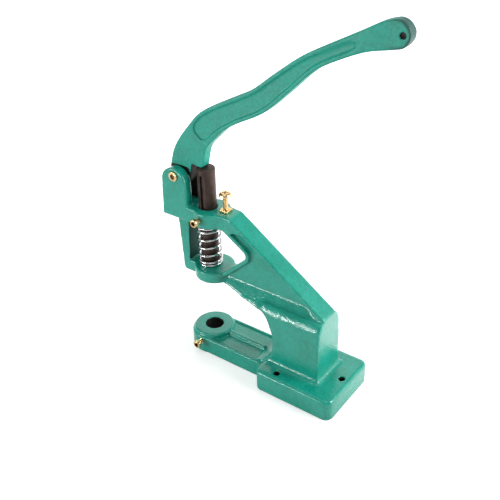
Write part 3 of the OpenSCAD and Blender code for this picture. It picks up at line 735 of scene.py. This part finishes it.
# %% Stop screw and lock nut
stop_x, head_base, head_height = 17.4, 126.8, 2.6
dome = bar(4.7, head_height, head_base, edge=0)
pick(dome)
bpy.ops.object.mode_set(mode="EDIT")
bpy.ops.mesh.select_all(action="DESELECT")
bpy.ops.object.mode_set(mode="OBJECT")
for edge in dome.data.edges:
    ends = [dome.data.vertices[index].co.z / MM for index in edge.vertices]
    edge.select = min(ends) > head_base + 2
bpy.ops.object.mode_set(mode="EDIT")
bpy.ops.mesh.select_mode(type="EDGE")
bpy.ops.mesh.bevel(offset=2.0 * MM, segments=6, profile=0.5)
bpy.ops.object.mode_set(mode="OBJECT")
for turn in (0, math.pi / 2):
    bpy.ops.mesh.primitive_cube_add(
        size=MM, location=(0, 0, (head_base + head_height) * MM), rotation=(0, 0, turn + 0.5))
    bpy.context.object.scale = (4.6, 0.95, 2.6)
    cut(dome, bpy.context.object)
stop_shank = bar(shank_radius, 24.5, head_base - 24, edge=0.3)
stop = join("stop_screw_piece", dome, stop_shank, thread(head_base - 23.6, 23))
stand(stop, (stop_x, 0, 0))
dress(stop, yellow_zinc, "stop_screw", "stop_screw")

bpy.ops.mesh.primitive_cube_add(size=MM, location=(stop_x * MM, 0, (113.05 + 1.2) * MM))
lock_nut = bpy.context.object
lock_nut.name = "lock_nut"
lock_nut.scale = (7.3, 7.3, 2.4)
settle(lock_nut)
modify(lock_nut, "BEVEL", width=0.35 * MM, segments=3)
dress(smooth(lock_nut), yellow_zinc, "frame", "stop_lock_nut")
print("stop screw:", len(stop.data.polygons), "faces, lock nut:", len(lock_nut.data.polygons))

# %% [markdown]
# ## Floor, light and camera
# A pale floor lies under the plate and fades into a white surrounding.  Brighter lamps could whiten
# it too, but they would bleach the enamel, so the floor glows a little for the camera alone, and
# behind the machine for reflections.

# %% Floor
bpy.ops.mesh.primitive_circle_add(
    vertices=96, radius=1.5, fill_type="NGON", location=(0.05, 0, plate_low * MM))
floor = settle(bpy.context.object)
floor.name = "floor"
floor_paint = bpy.data.materials.new("floor_paint")
floor_paint.use_nodes = True
tree = floor_paint.node_tree
tree.nodes.remove(tree.nodes["Principled BSDF"])
matt = tree.nodes.new("ShaderNodeBsdfDiffuse")
matt.inputs["Color"].default_value = (0.80, 0.80, 0.80, 1)
glow = tree.nodes.new("ShaderNodeEmission")
both = tree.nodes.new("ShaderNodeAddShader")
rays = tree.nodes.new("ShaderNodeLightPath").outputs
place = tree.nodes.new("ShaderNodeTexCoord").outputs["Object"]

fade = span(tree, vector_step(tree, "LENGTH", place)["Value"], 0.12, 0.34, 0.50, 1.0)
behind = span(tree, split(tree, place)["Y"], -0.02, 0.08, 0.0, 1.2)
seen = calculate(tree, "MULTIPLY", fade, rays["Is Camera Ray"])
level = calculate(tree, "MULTIPLY_ADD", behind, rays["Is Glossy Ray"], seen)
tree.links.new(level, glow.inputs["Strength"])
tree.links.new(matt.outputs["BSDF"], both.inputs[0])
tree.links.new(glow.outputs["Emission"], both.inputs[1])
tree.links.new(both.outputs["Shader"], tree.nodes["Material Output"].inputs["Surface"])
floor.data.materials.append(floor_paint)
floor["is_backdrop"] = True
print("floor at", plate_low, "mm")

# %% [markdown]
# The surrounding is bright behind the machine and dim in front of it, so the tops shine and the
# near sides stay deep green.  The main lamp shines from behind on the right, a low narrow one at
# the front left glints on the shoulder and the plate's edges, and a wide weak one hangs above.

# %% Light
world = bpy.data.worlds.new("surrounding")
bpy.context.scene.world = world
world.use_nodes = True
tree = world.node_tree
sky = tree.nodes["Background"]
sky.inputs["Color"].default_value = (1, 1, 1, 1)
rays = tree.nodes.new("ShaderNodeLightPath").outputs
way = split(tree, tree.nodes.new("ShaderNodeTexCoord").outputs["Generated"])
behind = span(tree, way["Y"], -0.2, 0.6, 0.18, 1.2)
lower = span(tree, way["Z"], 0.50, 0.66, 1.0, 0.28)
left = span(tree, way["X"], -0.30, 0.10, 1.2, 0.0)
level = calculate(tree, "MULTIPLY", behind, calculate(tree, "MAXIMUM", lower, left))
tree.links.new(calculate(tree, "MAXIMUM", level, rays["Is Camera Ray"]), sky.inputs["Strength"])


def soft_lamp(name, place, width, height, power):
    """An oblong area lamp that looks at the middle of the machine's foot."""
    bpy.ops.object.light_add(type="AREA", location=place)
    lamp = bpy.context.object
    lamp.name = name
    lamp.data.shape = "RECTANGLE"
    lamp.data.size = width
    lamp.data.size_y = height
    lamp.data.energy = power
    way = Vector((0.05, 0, 0.06)) - Vector(place)
    lamp.rotation_euler = way.to_track_quat("-Z", "Y").to_euler()
    print(name, "shines with", power, "W")


soft_lamp("main_lamp", (1.00, 0.30, 0.60), width=0.6, height=0.6, power=12)
soft_lamp("low_lamp", (-0.62, -0.99, 0.11), width=0.58, height=0.16, power=8)
soft_lamp("top_lamp", (0.15, -0.45, 1.25), width=0.9, height=0.9, power=4.2)

# %% [markdown]
# The camera stands where the photograph was taken from.  Its angles, its distance and its focal
# length were found together from the machine's straight edges and circles, so it is placed by
# numbers and not by eye.

# %% Camera
azimuth, elevation, roll = map(math.radians, (36.79, 32.35, -1.46))
aim, distance = Vector((39.17, 0, 86.54)) * MM, 571.38
picture_width, focal_pixels, sensor_width = 500, 752.0, 36

right = Vector((math.cos(azimuth), math.sin(azimuth), 0))
back = Vector((math.sin(azimuth) * math.cos(elevation),
               -math.cos(azimuth) * math.cos(elevation), math.sin(elevation)))
up = back.cross(right)
side = math.cos(roll) * right + math.sin(roll) * up
top = math.cos(roll) * up - math.sin(roll) * right
bpy.ops.object.camera_add(location=aim + back * distance * MM)
camera = bpy.context.object
camera.rotation_euler = Matrix((side, top, back)).transposed().to_euler()
camera.data.sensor_width = sensor_width
camera.data.lens = sensor_width * focal_pixels / picture_width
bpy.context.scene.camera = camera
bpy.context.scene.view_settings.view_transform = "Standard"
print("focal length:", round(camera.data.lens, 2), "mm")

# %% Print the sizes and finish
low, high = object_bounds()
print("made:", [round(v, 4) for v in (high - low)])
